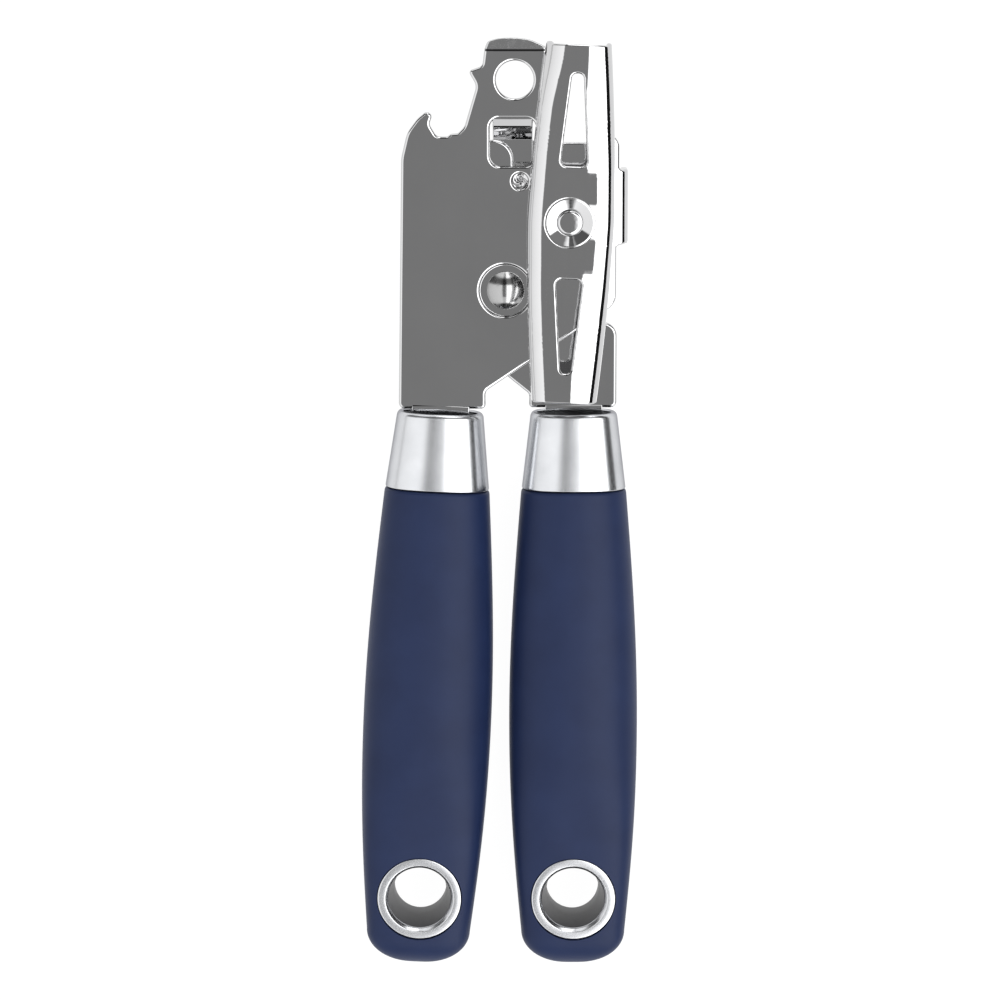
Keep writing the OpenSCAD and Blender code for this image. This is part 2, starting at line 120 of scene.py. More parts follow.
# Crank: a channel that rises to its ends, with a crown and a tighter corner down each side.
# Its two W values are half widths, and its skirts are SKIRT deep with SKIRT_MORE in the middle.
CRANK_LEN = 80.2
CRANK_MID_W = 9.85
CRANK_END_W = 7.3
CRANK_TOP = span("crank_key", 2)[1] - 4.4
CRANK_RISE = 4.4
CRANK_SHEET = 1.2
CRANK_LEAN = math.radians(-2.3)
CRANK_FLARE = math.radians(4)
CROWN_TURN = math.radians(27)
CORNER_TURN = math.pi / 2 - CRANK_FLARE - CROWN_TURN
CROWN_R = {1: 5.5, -1: 5.0}
CRANK_SHIFT = 0.35
CRANK_TAPER = 1.45
SKIRT = 4.6
SKIRT_MORE = 1.9
RIGHT_CORNER_R = 2.8
LEFT_CORNER_R = 2.35

# The dimple in the crank, the shaft's riveted head in it, and the cutter's swaged axle.
DIMPLE_R = 5.3
CUP_DEPTH = 1.25
CUP_R = 2.95
STUD_R = 2.85
STUD_HEIGHT = 0.6
STUD_EDGE_R = 0.75
SHAFT_TAIL_R = 2.2
AXLE_R = 2.5
AXLE_COLLAR_R = 3.3
SWAGED_R = 2.15
SWAGED_SINK = 0.25
RIPPLE = 0.14
JOURNAL_R = 3.0
COLLAR_R = 4.2
COLLAR_Z = 14.1

# Handles: s runs down a handle from its ferrule's top, and W and T values are half widths and
# half thicknesses. RIM_ROLL is along s, then across.
LEFT_TOP = (-13.5, 21.7)
LEFT_LEAN = math.radians(-2.54)
RIGHT_TOP = (16.75, 21.7)
HANDLE_LEN = 127.9
FERRULE_LEN = 17.4
FERRULE_W = (9.75, 11.8)
FERRULE_T = (8.2, 9.2)
FERRULE_SQUARENESS = 2.45
RIM_WALL = 1.45
RIM_INNER_R = 0.4
RIM_ROLL = (1.1, 0.8)
FERRULE_FOOT_R = 0.3
BELLY_W, BELLY_T, BELLY_S = 14.65, 10.5, 71.0
TAIL_S = HANDLE_LEN - 8
TAIL_W, TAIL_T = 11.9, 8.3
GRIP_S = FERRULE_LEN + 0.25
GRIP_PROUD = 0.1
GRIP_LEAD = 0.6
GRIP_LEAD_RUN = 0.8
GRIP_SQUARENESS = 2.3
TAIL_SQUARER = 1.9
TAIL_TAPER = 1.1
EYE_S = 110.7
EYE_TILT = math.radians(4)
EYELET_R = 9.6
EYELET_GAP = 0.17
EYELET_SEAT = 7.0
EYELET_LOW = 7.1
EYELET_BORES = (7.2, 6.4)
EYELET_OUTER_EDGE = 0.32
EYELET_BEVEL_R = 0.3
BOSS_R = 8.2
LINER_Z = 7.05
LINER_R = 6.0
BAR_HALF = 7
BAR_TOP = -16
BAR_THICK = 12

SOFT_EDGE = 0.12


# ---------------------------------------------------------------- outlines

def corner(before, at, after, step=8):
    """One corner of an outline, (x, y, radius), as the points of its arc."""
    x, y, radius = at
    into = Vector((x - before[0], y - before[1])).normalized()
    out = Vector((after[0] - x, after[1] - y)).normalized()
    turn = math.atan2(into.x * out.y - into.y * out.x, into.dot(out))
    if radius == 0 or abs(turn) < 0.02:
        return [Vector((x, y))]
    side = 1 if turn > 0 else -1
    normal = Vector((-into.y, into.x)) * side
    centre = Vector((x, y)) - into * radius * math.tan(abs(turn) / 2) + normal * radius
    count = max(3, int(abs(math.degrees(turn)) / step) + 1)
    return [centre - Matrix.Rotation(turn * i / count, 2) @ normal * radius for i in range(count + 1)]


def rounded(path):
    """A closed outline with each corner rounded to its own radius."""
    points = []
    for i, at in enumerate(path):
        points += corner(path[i - 1], at, path[(i + 1) % len(path)])
    return points


def circle(x, y, radius, count=96):
    """A round hole's outline."""
    turns = [math.tau * i / count for i in range(count)]
    return [Vector((x + radius * math.cos(a), y + radius * math.sin(a))) for a in turns]


# ---------------------------------------------------------------- mesh tools

def face_led_normals(bm, limit):
    """Normals for every face corner that follow the sheet's broad faces rather than its rounded edges."""
    broad = bm.faces.layers.int["broad"]
    weights = {face: face.calc_area() * (1 + 60 * face[broad]) for face in bm.faces}
    normals = []
    for face in bm.faces:
        for vert in face.verts:
            total = Vector((0, 0, 0))
            for other in vert.link_faces:
                if face.normal.dot(other.normal) > limit:
                    total += other.normal * weights[other]
            normals.append(total.normalized() if total.length > 0 else face.normal.copy())
    return normals


def to_piece(name, bm, body, nodes, materials, smooth_angle=32):
    """Makes a bmesh in millimetres into a piece of the model that stands for CAD nodes."""
    is_sheet = "broad" in bm.faces.layers.int.keys()
    bmesh.ops.scale(bm, vec=(MM, MM, MM), verts=bm.verts)
    bmesh.ops.recalc_face_normals(bm, faces=bm.faces)
    limit = math.radians(smooth_angle)
    for face in bm.faces:
        face.smooth = True
    for edge in bm.edges:
        edge.smooth = len(edge.link_faces) == 2 and edge.calc_face_angle(0) < limit
    normals = face_led_normals(bm, math.cos(limit)) if is_sheet else []
    mesh = bpy.data.meshes.new(name)
    bm.to_mesh(mesh)
    bm.free()
    if is_sheet:
        mesh.normals_split_custom_set(normals)
    for material in materials:
        mesh.materials.append(material)
    piece = bpy.data.objects.new(name, mesh)
    bpy.context.scene.collection.objects.link(piece)
    if not is_sheet:
        weigh = piece.modifiers.new("weighted_normals", "WEIGHTED_NORMAL")
        weigh.keep_sharp = True
        weigh.weight = 80
    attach(piece, body)
    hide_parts(*nodes)
    return piece


def sheet(outline, holes, thickness, edge):
    """A flat sheet round z = 0 with rounded edges: a filled curve with a bevel, turned into a mesh."""
    curve = bpy.data.curves.new("pattern", "CURVE")
    curve.dimensions = "2D"
    curve.fill_mode = "BOTH"
    curve.extrude = thickness / 2 - edge
    curve.bevel_depth = edge
    curve.bevel_resolution = 3
    curve.offset = -edge
    for loop in [outline, *holes]:
        spline = curve.splines.new("POLY")
        spline.points.add(len(loop) - 1)
        for point, place in zip(spline.points, loop):
            point.co = (place[0], place[1], 0, 1)
        spline.use_cyclic_u = True
    holder = bpy.data.objects.new("pattern", curve)
    bpy.context.scene.collection.objects.link(holder)
    bpy.context.view_layer.update()
    mesh = bpy.data.meshes.new_from_object(holder.evaluated_get(bpy.context.evaluated_depsgraph_get()))
    bm = bmesh.new()
    bm.from_mesh(mesh)
    bmesh.ops.remove_doubles(bm, verts=bm.verts, dist=0.002)
    broad = bm.faces.layers.int.new("broad")
    for face in bm.faces:
        face[broad] = int(min(abs(v.co.z) for v in face.verts) > thickness / 2 - 1e-4)
    bpy.data.objects.remove(holder)
    bpy.data.curves.remove(curve)
    bpy.data.meshes.remove(mesh)
    return bm


def slice_across(bm, axis, places):
    """Cuts a mesh along planes at the given places on one axis, so that it can bend there."""
    normal = Vector((0, 0, 0))
    normal[axis] = 1
    for place in places:
        geometry = bm.verts[:] + bm.edges[:] + bm.faces[:]
        bmesh.ops.bisect_plane(bm, geom=geometry, plane_co=normal * place, plane_no=normal, dist=1e-5)


def follow(distance, stretches):
    """Where the middle of a bent sheet is, and its turn, after a distance along (length, turn) parts."""
    x = z = angle = 0.0
    for length, turn in stretches:
        step = min(distance, length)
        if turn == 0:
            x += step * math.cos(angle)
            z -= step * math.sin(angle)
        else:
            radius = length / turn
            reached = angle + step / radius
            x += radius * (math.sin(reached) - math.sin(angle))
            z -= radius * (math.cos(angle) - math.cos(reached))
            angle = reached
        distance -= step
        if distance <= 0:
            break
    return x, z, angle


def bent(distance, height, stretches):
    """A point of a bent sheet: along and up, for a height above the sheet's middle."""
    x, z, angle = follow(distance, stretches)
    return x + height * math.sin(angle), z + height * math.cos(angle)


def ease(t):
    """A smooth step from 0 to 1."""
    t = min(1.0, max(0.0, t))
    return t * t * (3 - 2 * t)


def spread(low, high, step):
    """Evenly spaced places from low to high."""
    count = max(1, round((high - low) / step))
    return [low + (high - low) * i / count for i in range(count + 1)]


def spun(profile, count=128):
    """A turned solid: a closed profile of (radius, height) points spun round Z."""
    bm = bmesh.new()
    rings = []
    for radius, height in profile:
        if radius < 1e-6:
            rings.append([bm.verts.new((0, 0, height))])
            continue
        turns = [math.tau * i / count for i in range(count)]
        rings.append([bm.verts.new((radius * math.cos(a), radius * math.sin(a), height)) for a in turns])
    for one, two in zip(rings, rings[1:] + rings[:1]):
        for i in range(count):
            k = (i + 1) % count
            if len(one) == 1 and len(two) == 1:
                break
            if len(one) == 1:
                bm.faces.new((one[0], two[i], two[k]))
            elif len(two) == 1:
                bm.faces.new((one[i], one[k], two[0]))
            else:
                bm.faces.new((one[i], one[k], two[k], two[i]))
    return bm


def arc(centre, radius, start, end, count=8):
    """Points on an arc of a profile, from one angle in degrees to another."""
    turns = [math.radians(start + (end - start) * i / count) for i in range(count + 1)]
    return [(centre[0] + radius * math.cos(a), centre[1] + radius * math.sin(a)) for a in turns]


def skin(rings, capped=True):
    """A skin over rings of points."""
    bm = bmesh.new()
    made = [[bm.verts.new(p) for p in ring] for ring in rings]
    for one, two in zip(made, made[1:]):
        for i in range(len(one)):
            k = (i + 1) % len(one)
            bm.faces.new((one[i], one[k], two[k], two[i]))
    if capped:
        bm.faces.new(made[0])
        bm.faces.new(made[-1])
    return bm


def join(bm, other):
    """Adds another bmesh to a bmesh, as its own island."""
    mesh = bpy.data.meshes.new("part")
    other.to_mesh(mesh)
    other.free()
    bm.from_mesh(mesh)
    bpy.data.meshes.remove(mesh)


def move(bm, offset):
    """Moves a bmesh."""
    bmesh.ops.translate(bm, vec=Vector(offset), verts=bm.verts)
    return bm


# ---------------------------------------------------------------- materials

def base_material(name, colour, metallic, roughness):
    """A material with one principled shader."""
    material = bpy.data.materials.new(name)
    material.use_nodes = True
    shader = material.node_tree.nodes["Principled BSDF"]
    shader.inputs["Base Color"].default_value = (*colour, 1)
    shader.inputs["Metallic"].default_value = metallic
    shader.inputs["Roughness"].default_value = roughness
    return material, shader


def noise(material, scale, detail, stretch=(1, 1, 1)):
    """A noise texture in the object's own space, with a scale in features per metre."""
    nodes, links = material.node_tree.nodes, material.node_tree.links
    place = nodes.new("ShaderNodeTexCoord")
    mapping = nodes.new("ShaderNodeMapping")
    mapping.inputs["Scale"].default_value = stretch
    texture = nodes.new("ShaderNodeTexNoise")
    texture.inputs["Scale"].default_value = scale
    texture.inputs["Detail"].default_value = detail
    links.new(place.outputs["Object"], mapping.inputs["Vector"])
    links.new(mapping.outputs["Vector"], texture.inputs["Vector"])
    return texture.outputs["Fac"]


def ranged(material, value, low, high, from_low=0.3, from_high=0.7):
    """Maps a noise value to a range."""
    node = material.node_tree.nodes.new("ShaderNodeMapRange")
    node.inputs["From Min"].default_value = from_low
    node.inputs["From Max"].default_value = from_high
    node.inputs["To Min"].default_value = low
    node.inputs["To Max"].default_value = high
    material.node_tree.links.new(value, node.inputs["Value"])
    return node.outputs["Result"]


def bump(material, shader, layers):
    """Stacks bump layers of (height value, distance in metres, strength) on a shader."""
    nodes, links = material.node_tree.nodes, material.node_tree.links
    last = None
    for height, distance, strength in layers:
        node = nodes.new("ShaderNodeBump")
        node.inputs["Distance"].default_value = distance
        node.inputs["Strength"].default_value = strength
        links.new(height, node.inputs["Height"])
        if last:
            links.new(last, node.inputs["Normal"])
        last = node.outputs["Normal"]
    links.new(last, shader.inputs["Normal"])


def tinted(material, shader, dark, light, value):
    """Varies the base colour between two near shades by a noise value."""
    nodes, links = material.node_tree.nodes, material.node_tree.links
    mix = nodes.new("ShaderNodeMix")
    mix.data_type = "RGBA"
    mix.inputs["A"].default_value = (*dark, 1)
    mix.inputs["B"].default_value = (*light, 1)
    links.new(value, mix.inputs["Factor"])
    links.new(mix.outputs["Result"], shader.inputs["Base Color"])


def chrome(name, dark, light, roughness):
    """Bright plate over rolled steel: a mirror with a faint roll wave and fine wiping marks."""
    material, shader = base_material(name, light, 1, roughness)
    tinted(material, shader, dark, light, ranged(material, noise(material, 60, 3), 0, 1))
    wiped = noise(material, 900, 4, (1, 0.05, 1))
    links = material.node_tree.links
    links.new(ranged(material, wiped, roughness * 0.7, roughness * 1.5), shader.inputs["Roughness"])
    bump(material, shader, [
        (noise(material, 95, 2), 0.0006, 0.05),
        (noise(material, 330, 2), 0.0003, 0.05),
        (wiped, 0.00001, 0.04),
    ])
    return material


def satin(name, dark, light, roughness, grain=0.12):
    """Blasted and lacquered metal: fine even grain and a soft reflection."""
    material, shader = base_material(name, light, 1, roughness)
    tinted(material, shader, dark, light, ranged(material, noise(material, 150, 4), 0, 1))
    blasted = noise(material, 9000, 3)
    links = material.node_tree.links
    links.new(ranged(material, blasted, roughness * 0.85, roughness * 1.2), shader.inputs["Roughness"])
    shader.inputs["Specular Tint"].default_value = (0.45, 0.45, 0.47, 1)
    bump(material, shader, [(blasted, 0.00002, grain)])
    return material


def steel(name, dark, light, roughness, stretch):
    """Turned or ground steel with fine lines one way."""
    material, shader = base_material(name, light, 1, roughness)
    lines = noise(material, 4000, 5, stretch)
    tinted(material, shader, dark, light, ranged(material, lines, 0, 1))
    links = material.node_tree.links
    links.new(ranged(material, lines, roughness * 0.7, roughness * 1.4), shader.inputs["Roughness"])
    bump(material, shader, [(lines, 0.00003, 0.15)])
    return material


def soft_touch(name, dark, light):
    """Navy soft-touch moulding: a velvety matt skin with a very fine spark-eroded grain."""
    material, shader = base_material(name, light, 0, 0.5)
    tinted(material, shader, dark, light, ranged(material, noise(material, 110, 5), 0, 1))
    grain = noise(material, 6500, 4)
    links = material.node_tree.links
    links.new(ranged(material, grain, 0.44, 0.56), shader.inputs["Roughness"])
    shader.inputs["IOR"].default_value = 1.46
    shader.inputs["Specular IOR Level"].default_value = 0.26
    shader.inputs["Sheen Weight"].default_value = 0.02
    shader.inputs["Sheen Roughness"].default_value = 0.45
    shader.inputs["Sheen Tint"].default_value = (0.55, 0.65, 1.0, 1)
    bump(material, shader, [
        (grain, 0.00003, 0.22),
        (noise(material, 260, 3), 0.0001, 0.04),
    ])
    return material


def moulded(name, dark, light, roughness):
    """Plain moulded plastic with a faint flow mottle and a fine grain."""
    material, shader = base_material(name, light, 0, roughness)
    tinted(material, shader, dark, light, ranged(material, noise(material, 90, 4), 0, 1))
    grain = noise(material, 5000, 3)
    links = material.node_tree.links
    links.new(ranged(material, grain, roughness * 0.85, roughness * 1.15), shader.inputs["Roughness"])
    bump(material, shader, [(grain, 0.00003, 0.15)])
    return material


PLATE = chrome("plate_chrome", (0.585, 0.585, 0.59), (0.615, 0.615, 0.62), 0.035)
RIVET = chrome("rivet_chrome", (0.40, 0.40, 0.40), (0.44, 0.44, 0.44), 0.16)
TURNED = steel("turned_steel", (0.42, 0.42, 0.42), (0.56, 0.56, 0.55), 0.25, (0.05, 0.05, 1))
GEAR = steel("gear_steel", (0.30, 0.30, 0.30), (0.46, 0.46, 0.46), 0.32, (1, 0.08, 1))
BLADE = steel("blade_steel", (0.50, 0.50, 0.50), (0.64, 0.64, 0.64), 0.14, (0.05, 0.05, 1))
SATIN = satin("satin_metal", (0.60, 0.61, 0.63), (0.67, 0.68, 0.70), 0.235)
GRIP = soft_touch("soft_grip", (0.0082, 0.0165, 0.056), (0.0105, 0.0205, 0.066))
CORE = moulded("core_plastic", (0.035, 0.035, 0.038), (0.05, 0.05, 0.054), 0.42)


# ---------------------------------------------------------------- upper lever

UPPER_OUTLINE = [
    (-22.95, 22.4, 1.4), (-3.25, 22.4, 1.0), (-3.25, 26.45, 1.5),
    (26.2, 46.25, 4.0), (26.2, 59.3, 0.7), (31.6, 60.45, 0.7),
    (31.6, 76.92, 0.7), (26.75, 76.3, 0.7), (26.75, 84.55, 3.0),
    (22.3, 84.55, 2.0), (20.3, 82.6, 2.0), (12.6, 82.6, 3.0),
    (10.2, 91.0, 6.0), (10.45, 103.6, 0.8), (7.0, 105.4, 8.0),
    (3.3, 106.0, 20.0), (-0.8, 105.7, 8.0), (-2.9, 104.95, 1.2),
    (-3.55, 103.1, 1.0), (-4.0, 99.6, 1.2), (-7.2, 98.5, 0.8),
    (-5.3, 95.2, 2.5), (-8.0, 86.0, 3.0), (-9.4, 84.6, 1.0),
    (-11.0, 84.45, 0.7), (-11.8, 83.85, 1.0), (-14.2, 83.85, 1.5),
    (-15.85, 86.6, 1.5), (-15.1, 88.75, 0.95), (-16.55, 89.5, 0.95),
    (-18.6, 87.8, 5.0), (-20.9, 84.7, 6.0), (-22.25, 79.0, 9.0),
]
WINDOW = [(-2.3, 77.14, 2.4), (8.08, 77.14, 2.4), (8.08, 88.0, 2.2), (-2.3, 88.0, 2.2)]
EDGE = 0.62

# A last stretch longer than any sheet here, and how finely each bend is cut.
PAST_END = 50
ROLL_STEP = 0.5
CORNER_STEP = 0.15
LIP_STEP = 0.08
TAB_STEP = 0.2


def bend_upper(bm):
    """Bends the upper plate's flat pattern: the rolled right edge with its flange, and the lip."""
    corner_run = BEND_R * (math.pi / 2 - ROLL_ANGLE)
    corner_x = ROLL_X + ROLL_RUN
    slice_across(bm, 0, spread(ROLL_X, corner_x, ROLL_STEP))
    slice_across(bm, 0, spread(corner_x, corner_x + corner_run, CORNER_STEP)[1:])
    lip_run = LIP_BEND_R * LIP_ANGLE
    slice_across(bm, 1, spread(LIP_Y, LIP_Y + lip_run, LIP_STEP))
    side_bend = [(ROLL_RUN, ROLL_ANGLE), (corner_run, math.pi / 2 - ROLL_ANGLE), (PAST_END, 0)]
    lip = [(lip_run, LIP_ANGLE), (PAST_END, 0)]
    for vert in bm.verts:
        x, y, z = vert.co
        if y > LIP_Y:
            along, up = bent(y - LIP_Y, z, lip)
            vert.co = (x, LIP_Y + along, up)
        elif x > ROLL_X:
            along, up = bent(x - ROLL_X, z, side_bend)
            if y < FLANGE_FOOT:
                up = max(up, -SHEET / 2)
            vert.co = (ROLL_X + along, y, up)
    return bm


def window_tab():
    """The tongue lanced out of the window and set back: a shallow lead, a steep web and a flat foot."""
    bends_drop = TAB_BEND_R * (2 - 2 * math.cos(TAB_SLOPE))
    web = (TAB_DROP - TAB_LEAD_RUN * math.sin(TAB_LEAD) - bends_drop) / math.sin(TAB_SLOPE)
    stretches = [
        (TAB_START, 0),
        (TAB_BEND_R * TAB_LEAD, TAB_LEAD),
        (TAB_LEAD_RUN, 0),
        (TAB_BEND_R * (TAB_SLOPE - TAB_LEAD), TAB_SLOPE - TAB_LEAD),
        (web, 0),
        (TAB_BEND_R * TAB_SLOPE, -TAB_SLOPE),
        (PAST_END, 0),
    ]
    set_back = sum(run for run, _ in stretches[:-1])
    length = set_back + TAB_FOOT
    outline = rounded([
        (-TAB_TUCK, 0, 0.2), (length, 0, TAB_CORNER),
        (length, TAB_W, TAB_CORNER), (-TAB_TUCK, TAB_W, 0.2),
    ])
    strip = sheet(outline, [], TAB_SHEET, 0.25)
    slice_across(strip, 0, spread(0, set_back, TAB_STEP))
    for vert in strip.verts:
        x, y, z = vert.co
        along, up = bent(x, z, stretches) if x > 0 else (x, z)
        vert.co = (TAB_LEFT + y, TAB_ROOT - along, up)
    return strip


def tang():
    """The flat tang of a plate, in its handle's own frame."""
    foot = [(-TANG_HALF, TANG_LOW, 1), (TANG_HALF, TANG_LOW, 1)]
    root = [(TANG_HALF, TANG_HIGH, 0), (-TANG_HALF, TANG_HIGH, 0)]
    return sheet(rounded(foot + root), [], SHEET, 0.2)


def make_upper_plate():
    """The upper lever's plate: the bent sheet, the pocket round the rivet, the tongue and the tang."""
    holes = [
        rounded(WINDOW),
        circle(*HEAD_HOLE),
        circle(PIVOT.x, PIVOT.y, POCKET_R),
        circle(CUTTER.x, CUTTER.y, SIGHT_R, 64),
        circle(SHAFT.x, SHAFT.y, BUSHING_R),
    ]
    outline = rounded(UPPER_OUTLINE)
    for point in outline:
        point.y += max(0.0, point.y - LIP_Y) * LIP_STRETCH
    bm = bend_upper(sheet(outline, holes, SHEET, EDGE))
    floor_top = SHEET / 2 - POCKET_DEPTH
    lap = POCKET_R + 0.03
    pocket = [(RIVET_R, -SHEET / 2), (lap, -SHEET / 2), (lap, floor_top + 0.1)]
    pocket += arc((POCKET_R - 0.19, floor_top + POCKET_FILLET), POCKET_FILLET, -20, -90, 7)
    pocket += [(RIVET_R, floor_top)]
    join(bm, move(spun(pocket), (PIVOT.x, PIVOT.y, 0)))
    join(bm, window_tab())
    leaning = tang()
    bmesh.ops.rotate(leaning, cent=(0, 0, 0), matrix=Matrix.Rotation(LEFT_LEAN, 3, "Z"), verts=leaning.verts)
    join(bm, move(leaning, (LEFT_TOP[0], LEFT_TOP[1], 0)))
    move(bm, (0, 0, UPPER_MID))
    to_piece("upper_plate_formed", bm, "upper_lever", ["upper_plate"], [PLATE])


def dome(radius, height, base, count=14):
    """The profile of a low dome that stands on the plane at base."""
    ball = (radius * radius + height * height) / (2 * height)
    start = math.degrees(math.asin(radius / ball))
    points = arc((0, base + height - ball), ball, 90 - start, 90, count)
    return points[:-1] + [(0, base + height)]


def make_main_rivet():
    """The domed rivet, on a low shoulder in the upper plate's pocket."""
    low = span("main_rivet", 2)[0]
    base = UPPER_TOP - POCKET_DEPTH
    profile = [(0, low), (3.7, low), (RIVET_FOOT_R, low + 0.3), (4.1, low + 0.9), (RIVET_R, low + 0.9),
               (RIVET_R, base), (RIVET_FOOT_R, base)]
    profile += arc((RIVET_FOOT_R, base + 0.25), 0.25, -90, 20, 5)
    profile += dome(RIVET_HEAD_R, RIVET_DOME, base + 0.34)
    to_piece("main_rivet_domed", move(spun(profile), (PIVOT.x, PIVOT.y, 0)), "upper_lever",
             ["main_rivet"], [RIVET])


# ---------------------------------------------------------------- lower lever

LOWER_PATTERN = [
    (6.61, 22.5, 0.8), (26.45, 22.5, 1.4), (26.45, 41.95, 3.2),
    (14.5, 41.95, 6.0), (10.3, 55.0, 8.0), (9.9, 76.9, 3.0),
    (3.03, 76.9, 0.6), (3.03, 83.06, 4.6), (-5.2, 83.06, 4.0),
    (-8.0, 60.0, 20.0), (-8.2, 42.0, 8.0), (-1.2, 31.9, 4.0),
    (6.61, 25.6, 1.2),
]


def make_lower_plate():
    """The lower lever's flat plate, with its two holes and its tang."""
    holes = [circle(PIVOT.x, PIVOT.y, RIVET_R + 0.05, 64), circle(CUTTER.x, CUTTER.y, 2.2, 64)]
    bm = sheet(rounded(LOWER_PATTERN), holes, SHEET, EDGE)
    join(bm, move(tang(), (RIGHT_TOP[0], RIGHT_TOP[1], 0)))
    move(bm, (0, 0, LOWER_MID))
    to_piece("lower_plate_formed", bm, "lower_lever", ["lower_plate"], [PLATE])


# ---------------------------------------------------------------- crank

def crank_half(u):
    """Half of the crank's overall width at u along it."""
    reach = min(1.0, abs(u) * 2 / CRANK_LEN)
    return CRANK_MID_W - (CRANK_MID_W - CRANK_END_W) * reach ** CRANK_TAPER


def crank_top(u):
    """The height of the crank's web at u."""
    return CRANK_TOP + CRANK_RISE * ease((abs(u) - 5) / (CRANK_LEN / 2 - 2))


def crank_skirt(u):
    """How far the crank's sides reach down at u, deepest beside the shaft."""
    return SKIRT + SKIRT_MORE * (1 - ease((abs(u) - 8) / 8))


def corner_radius(u, side):
    """Outside radius of the tight part of the crank's shoulder, right (1) or left (-1)."""
    if side > 0:
        return RIGHT_CORNER_R + 0.45 * ease((abs(u) - 8) / 14)
    return LEFT_CORNER_R + 2.3 * ease((u - 24) / 14)


def crank_side(u, side):
    """Half of the crank's section at u: its flat half width, and the bends and skirt that follow."""
    crown, corner_r = CROWN_R[side], corner_radius(u, side)
    crown_mid, corner_mid = crown - CRANK_SHEET / 2, corner_r - CRANK_SHEET / 2
    end = CROWN_TURN + CORNER_TURN
    drop = crown_mid * (1 - math.cos(CROWN_TURN)) + corner_mid * (math.cos(CROWN_TURN) - math.cos(end))
    skirt = max(0.0, crank_skirt(u) - CRANK_SHEET / 2 - drop) / math.cos(CRANK_FLARE)
    flat = crank_half(u) - crown * math.sin(CROWN_TURN) - skirt * math.sin(CRANK_FLARE)
    flat -= corner_r * (math.sin(end) - math.sin(CROWN_TURN))
    return flat, [(crown_mid * CROWN_TURN, CROWN_TURN), (corner_mid * CORNER_TURN, CORNER_TURN), (skirt, 0)]


SLOT_NEAR = 12.6
SLOT_FAR = 33.3
SLOT = [(-3.0, SLOT_NEAR, 1.3), (3.0, SLOT_NEAR, 1.3), (1.2, SLOT_FAR, 1.1), (-1.2, SLOT_FAR, 1.1)]
SLOT_TAPER = 0.065
CRANK_EDGE = 0.5
STRIP_LEAN = 0.066
STRIP_EASE = 0.3
TIP_BACK = 0.5
TIP_INSET = 0.6
WEB_REACH = 10.8
WEB_STEP = 0.28
CUP_FILLET = 0.4


def crank_pattern():
    """The crank's flat outline: the web, both shoulders laid flat, and the skirts."""
    def half(u, side):
        """The flat outline's edge at u, on one side."""
        flat, stretches = crank_side(u, side)
        return side * (flat + sum(length for length, _ in stretches))

    end = CRANK_LEN / 2
    places = spread(-end + TIP_INSET, end - TIP_INSET, 1.0)
    right = [(half(u, 1), u) for u in places]
    left = [(half(u, -1), u) for u in reversed(places)]
    near = [(half(-end, -1) + TIP_INSET, -end), (half(-end, 1) - TIP_INSET, -end)]
    far = [(half(end, 1) - TIP_INSET, end), (half(end, -1) + TIP_INSET, end)]
    return near + right + far + left


def strip_drop(v, u):
    """How far the web leans down to the right, beside the two slots and beside the dimple."""
    slot_side = max(2.8 - (abs(u) - SLOT_NEAR) * SLOT_TAPER, 2.1 if u > 0 else 1.3)
    by_slot = ease((abs(u) - 10) / 3)
    by_dimple = 1 - ease((abs(u - 0.4) - 2.6) / 2)
    edge = crank_side(u, 1)[0] + 0.5
    lean = 0.0
    for start, share in ((slot_side, by_slot), (2.4, by_dimple)):
        past = max(0.0, min(v, edge) - start)
        eased = past - STRIP_EASE / 2 if past > STRIP_EASE else past * past / (2 * STRIP_EASE)
        lean += STRIP_LEAN * share * eased
    return lean


def make_crank():
    """The pressed crank: the flat pattern bent along its length, and the dimple as a turned cup."""
    slots = [[Vector((p.x * s, p.y * s)) for p in rounded(SLOT)] for s in (1, -1)]
    dimple = circle(-CRANK_SHIFT, 0, DIMPLE_R, 128)
    bm = sheet(crank_pattern(), [*slots, dimple], CRANK_SHEET, CRANK_EDGE)
    end = CRANK_LEN / 2
    slice_across(bm, 1, spread(-end, end, 0.9)[1:-1])
    left_cuts, right_cuts = spread(-WEB_REACH, -2.2, WEB_STEP), spread(1.2, WEB_REACH, WEB_STEP)
    slice_across(bm, 0, left_cuts + [0.0] + right_cuts)
    for vert in bm.verts:
        v, u, z = vert.co
        flat, bends = crank_side(u, 1 if v > 0 else -1)
        along, up = bent(abs(v), z, [(flat, 0), *bends, (PAST_END, 0)])
        drawn = 1 - ease((abs(v) - flat - 3.3) / 1.5)
        u_end = u - TIP_BACK * ease((u - 30) / 10) * drawn
        height = crank_top(u) - CRANK_SHEET / 2 + up - strip_drop(v, u)
        vert.co = (CRANK_SHIFT + math.copysign(along, v), u_end, height)
    cup = CRANK_TOP - CUP_DEPTH
    under = cup - CRANK_SHEET
    wall = math.atan2(CUP_DEPTH - 0.06, DIMPLE_R - 0.1 - CUP_R)
    profile = [(SHAFT_TAIL_R, under), (CUP_R + 0.8, under), (DIMPLE_R + 0.3, CRANK_TOP - CRANK_SHEET),
               (DIMPLE_R + 0.3, CRANK_TOP - 0.1), (DIMPLE_R - 0.1, CRANK_TOP - 0.06)]
    profile += arc((CUP_R, cup + CUP_FILLET), CUP_FILLET, math.degrees(wall) - 90, -90, 5)
    profile += [(SHAFT_TAIL_R, cup)]
    join(bm, spun(profile))
    bmesh.ops.rotate(bm, cent=(0, 0, 0), matrix=Matrix.Rotation(CRANK_LEAN, 3, "Z"), verts=bm.verts)
    move(bm, (SHAFT.x, SHAFT.y, 0))
    to_piece("crank_key_pressed", bm, "crank", ["crank_key"], [PLATE])


